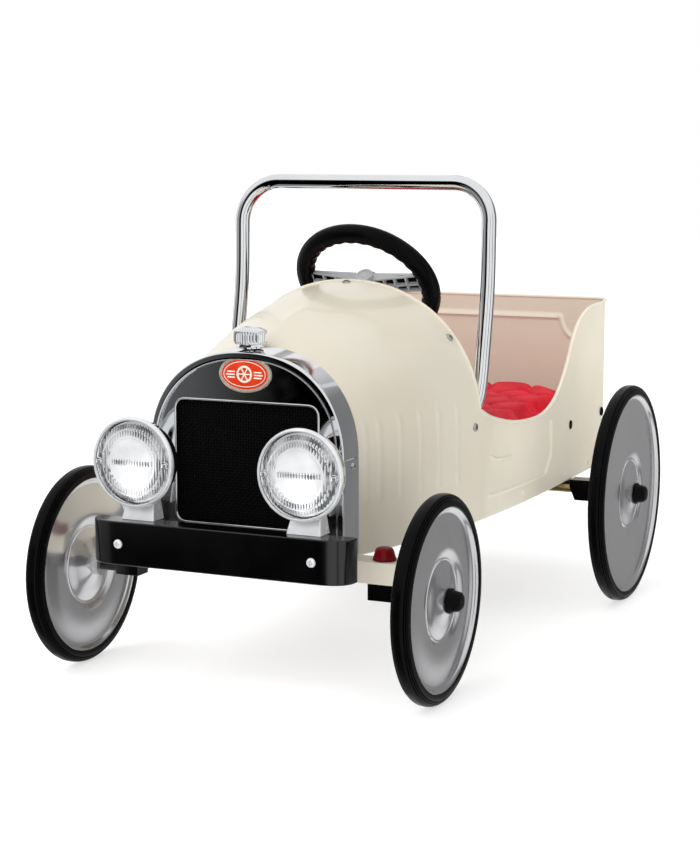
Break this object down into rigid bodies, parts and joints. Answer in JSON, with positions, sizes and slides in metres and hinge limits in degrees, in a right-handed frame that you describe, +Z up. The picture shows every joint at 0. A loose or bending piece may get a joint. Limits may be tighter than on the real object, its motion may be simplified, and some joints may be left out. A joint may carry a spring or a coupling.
{
  "type": "pedal car",
  "caption": "Ride-on pedal car with a rounded hood, open seat tub, cranked rear axle, steered front wheels, headlamps and tube windscreen frame.",
  "frame": {"origin": "under the middle of the car at floor level", "axes": "+Z up, the car faces -Y, +X is the left side of the car"},
  "size_m": [0.5652, 0.8294, 0.5388],
  "materials": {
    "cream_paint": "glossy ivory enamel on pressed steel",
    "chrome": "bright chrome plate",
    "grille": "fine black mesh behind the opening",
    "badge_enamel": "orange-red enamel in a silver rim, blank",
    "black_paint": "gloss black enamel",
    "lens": "clear ribbed lens",
    "red_plastic": "dark red moulded cap",
    "zinc": "yellow zinc plate",
    "black_plastic": "black moulded plastic",
    "tyre_rubber": "solid black rubber with ribbed shoulder",
    "silver_paint": "silver-grey enamel",
    "red_cloth": "tufted crimson cloth",
    "grey_plastic": "grey moulded plastic"
  },
  "bodies": {
    "root": {"hood_shell": "cream_paint", "side_panel_left": "cream_paint", "side_panel_right": "cream_paint", "rear_panel": "cream_paint", "radiator_shell": "chrome", "radiator_face": "chrome", "grille_mesh": "grille", "badge": "badge_enamel", "radiator_cap": "chrome", "bumper": "black_paint", "bumper_arm_left": "black_paint", "bumper_arm_right": "black_paint", "headlamp_bucket_left": "chrome", "headlamp_reflector_left": "chrome", "headlamp_rim_left": "chrome", "headlamp_lens_left": "lens", "headlamp_stand_left": "chrome", "headlamp_bucket_right": "chrome", "headlamp_reflector_right": "chrome", "headlamp_rim_right": "chrome", "headlamp_lens_right": "lens", "headlamp_stand_right": "chrome", "windscreen_frame": "chrome", "dash_crossbar": "black_paint", "column_stay": "black_paint", "front_axle_beam": "cream_paint", "chassis_frame": "black_paint", "axle_bracket_left": "black_paint", "axle_bracket_right": "black_paint", "pedal_crossbar": "zinc", "seat_pan": "black_paint", "seat_cushion": "red_cloth"},
    "steering": {"steering_wheel_rim": "black_plastic", "steering_wheel_spokes": "grey_plastic", "steering_hub_cap": "grey_plastic", "steering_column": "black_paint"},
    "knuckle_left": {"knuckle_left": "black_paint", "kingpin_cap_left": "red_plastic"},
    "knuckle_right": {"knuckle_right": "black_paint", "kingpin_cap_right": "red_plastic"},
    "tie_rod": {"tie_rod": "zinc"},
    "front_wheel_left": {"front_tyre_left": "tyre_rubber", "front_disc_left": "silver_paint", "front_hub_cap_left": "black_plastic"},
    "front_wheel_right": {"front_tyre_right": "tyre_rubber", "front_disc_right": "silver_paint", "front_hub_cap_right": "black_plastic"},
    "crank": {"crank_axle": "zinc", "rear_tyre_left": "tyre_rubber", "rear_disc_left": "silver_paint", "rear_hub_cap_left": "black_plastic"},
    "rear_wheel_right": {"rear_tyre_right": "tyre_rubber", "rear_disc_right": "silver_paint", "rear_hub_cap_right": "black_plastic"},
    "pedal_rod_left": {"pedal_rod_left": "zinc"},
    "pedal_rod_right": {"pedal_rod_right": "zinc"},
    "pedal_left": {"pedal_lever_left": "black_paint", "pedal_pad_left": "black_plastic"},
    "pedal_right": {"pedal_lever_right": "black_paint", "pedal_pad_right": "black_plastic"}
  },
  "joints": [
    {"name": "steering_turn", "type": "hinge", "parent": "root", "child": "steering", "pos_m": [0, -0.0015, 0.4088], "axis": [0, 0.7771, 0.6293], "range_deg": [-35, 35]},
    {"name": "steer_left", "type": "hinge", "parent": "root", "child": "knuckle_left", "pos_m": [0.152, -0.305, 0.11], "axis": [0, 0, 1], "range_deg": [-25.2, 25.2]},
    {"name": "steer_right", "type": "hinge", "parent": "root", "child": "knuckle_right", "pos_m": [-0.152, -0.305, 0.11], "axis": [0, 0, 1], "range_deg": [-25.2, 25.2]},
    {"name": "tie_rod_slide", "type": "slide", "parent": "root", "child": "tie_rod", "axis": [1, 0, 0], "range_m": [-0.0205, 0.0205]},
    {"name": "front_wheel_left_spin", "type": "hinge", "parent": "knuckle_left", "child": "front_wheel_left", "pos_m": [0.2117, -0.305, 0.11], "axis": [1, 0, 0], "continuous": true},
    {"name": "front_wheel_right_spin", "type": "hinge", "parent": "knuckle_right", "child": "front_wheel_right", "pos_m": [-0.2117, -0.305, 0.11], "axis": [1, 0, 0], "continuous": true},
    {"name": "crank_spin", "type": "hinge", "parent": "root", "child": "crank", "pos_m": [0, 0.228, 0.1364], "axis": [1, 0, 0], "continuous": true},
    {"name": "rear_wheel_right_spin", "type": "hinge", "parent": "root", "child": "rear_wheel_right", "pos_m": [-0.2556, 0.228, 0.1364], "axis": [1, 0, 0], "continuous": true},
    {"name": "rod_left_pivot", "type": "hinge", "parent": "crank", "child": "pedal_rod_left", "pos_m": [0.084, 0.194, 0.1364], "axis": [1, 0, 0], "continuous": true},
    {"name": "rod_right_pivot", "type": "hinge", "parent": "crank", "child": "pedal_rod_right", "pos_m": [-0.084, 0.262, 0.1364], "axis": [1, 0, 0], "continuous": true},
    {"name": "pedal_left_swing", "type": "hinge", "parent": "root", "child": "pedal_left", "pos_m": [0.072, -0.115, 0.3], "axis": [1, 0, 0], "range_deg": [-0.5, 29.5]},
    {"name": "pedal_right_swing", "type": "hinge", "parent": "root", "child": "pedal_right", "pos_m": [-0.072, -0.115, 0.3], "axis": [1, 0, 0], "range_deg": [-29.5, 0.5]}
  ],
  "couplings": [
    {"joint": "steer_left", "follows": "steering_turn", "ratio": 0.714},
    {"joint": "steer_right", "follows": "steering_turn", "ratio": 0.714},
    {"joint": "tie_rod_slide", "follows": "steering_turn", "m_per_rad": -0.0317},
    {"joint": "rod_left_pivot", "follows": "crank_spin", "ratio": -1},
    {"joint": "rod_right_pivot", "follows": "crank_spin", "ratio": -1}
  ]
}
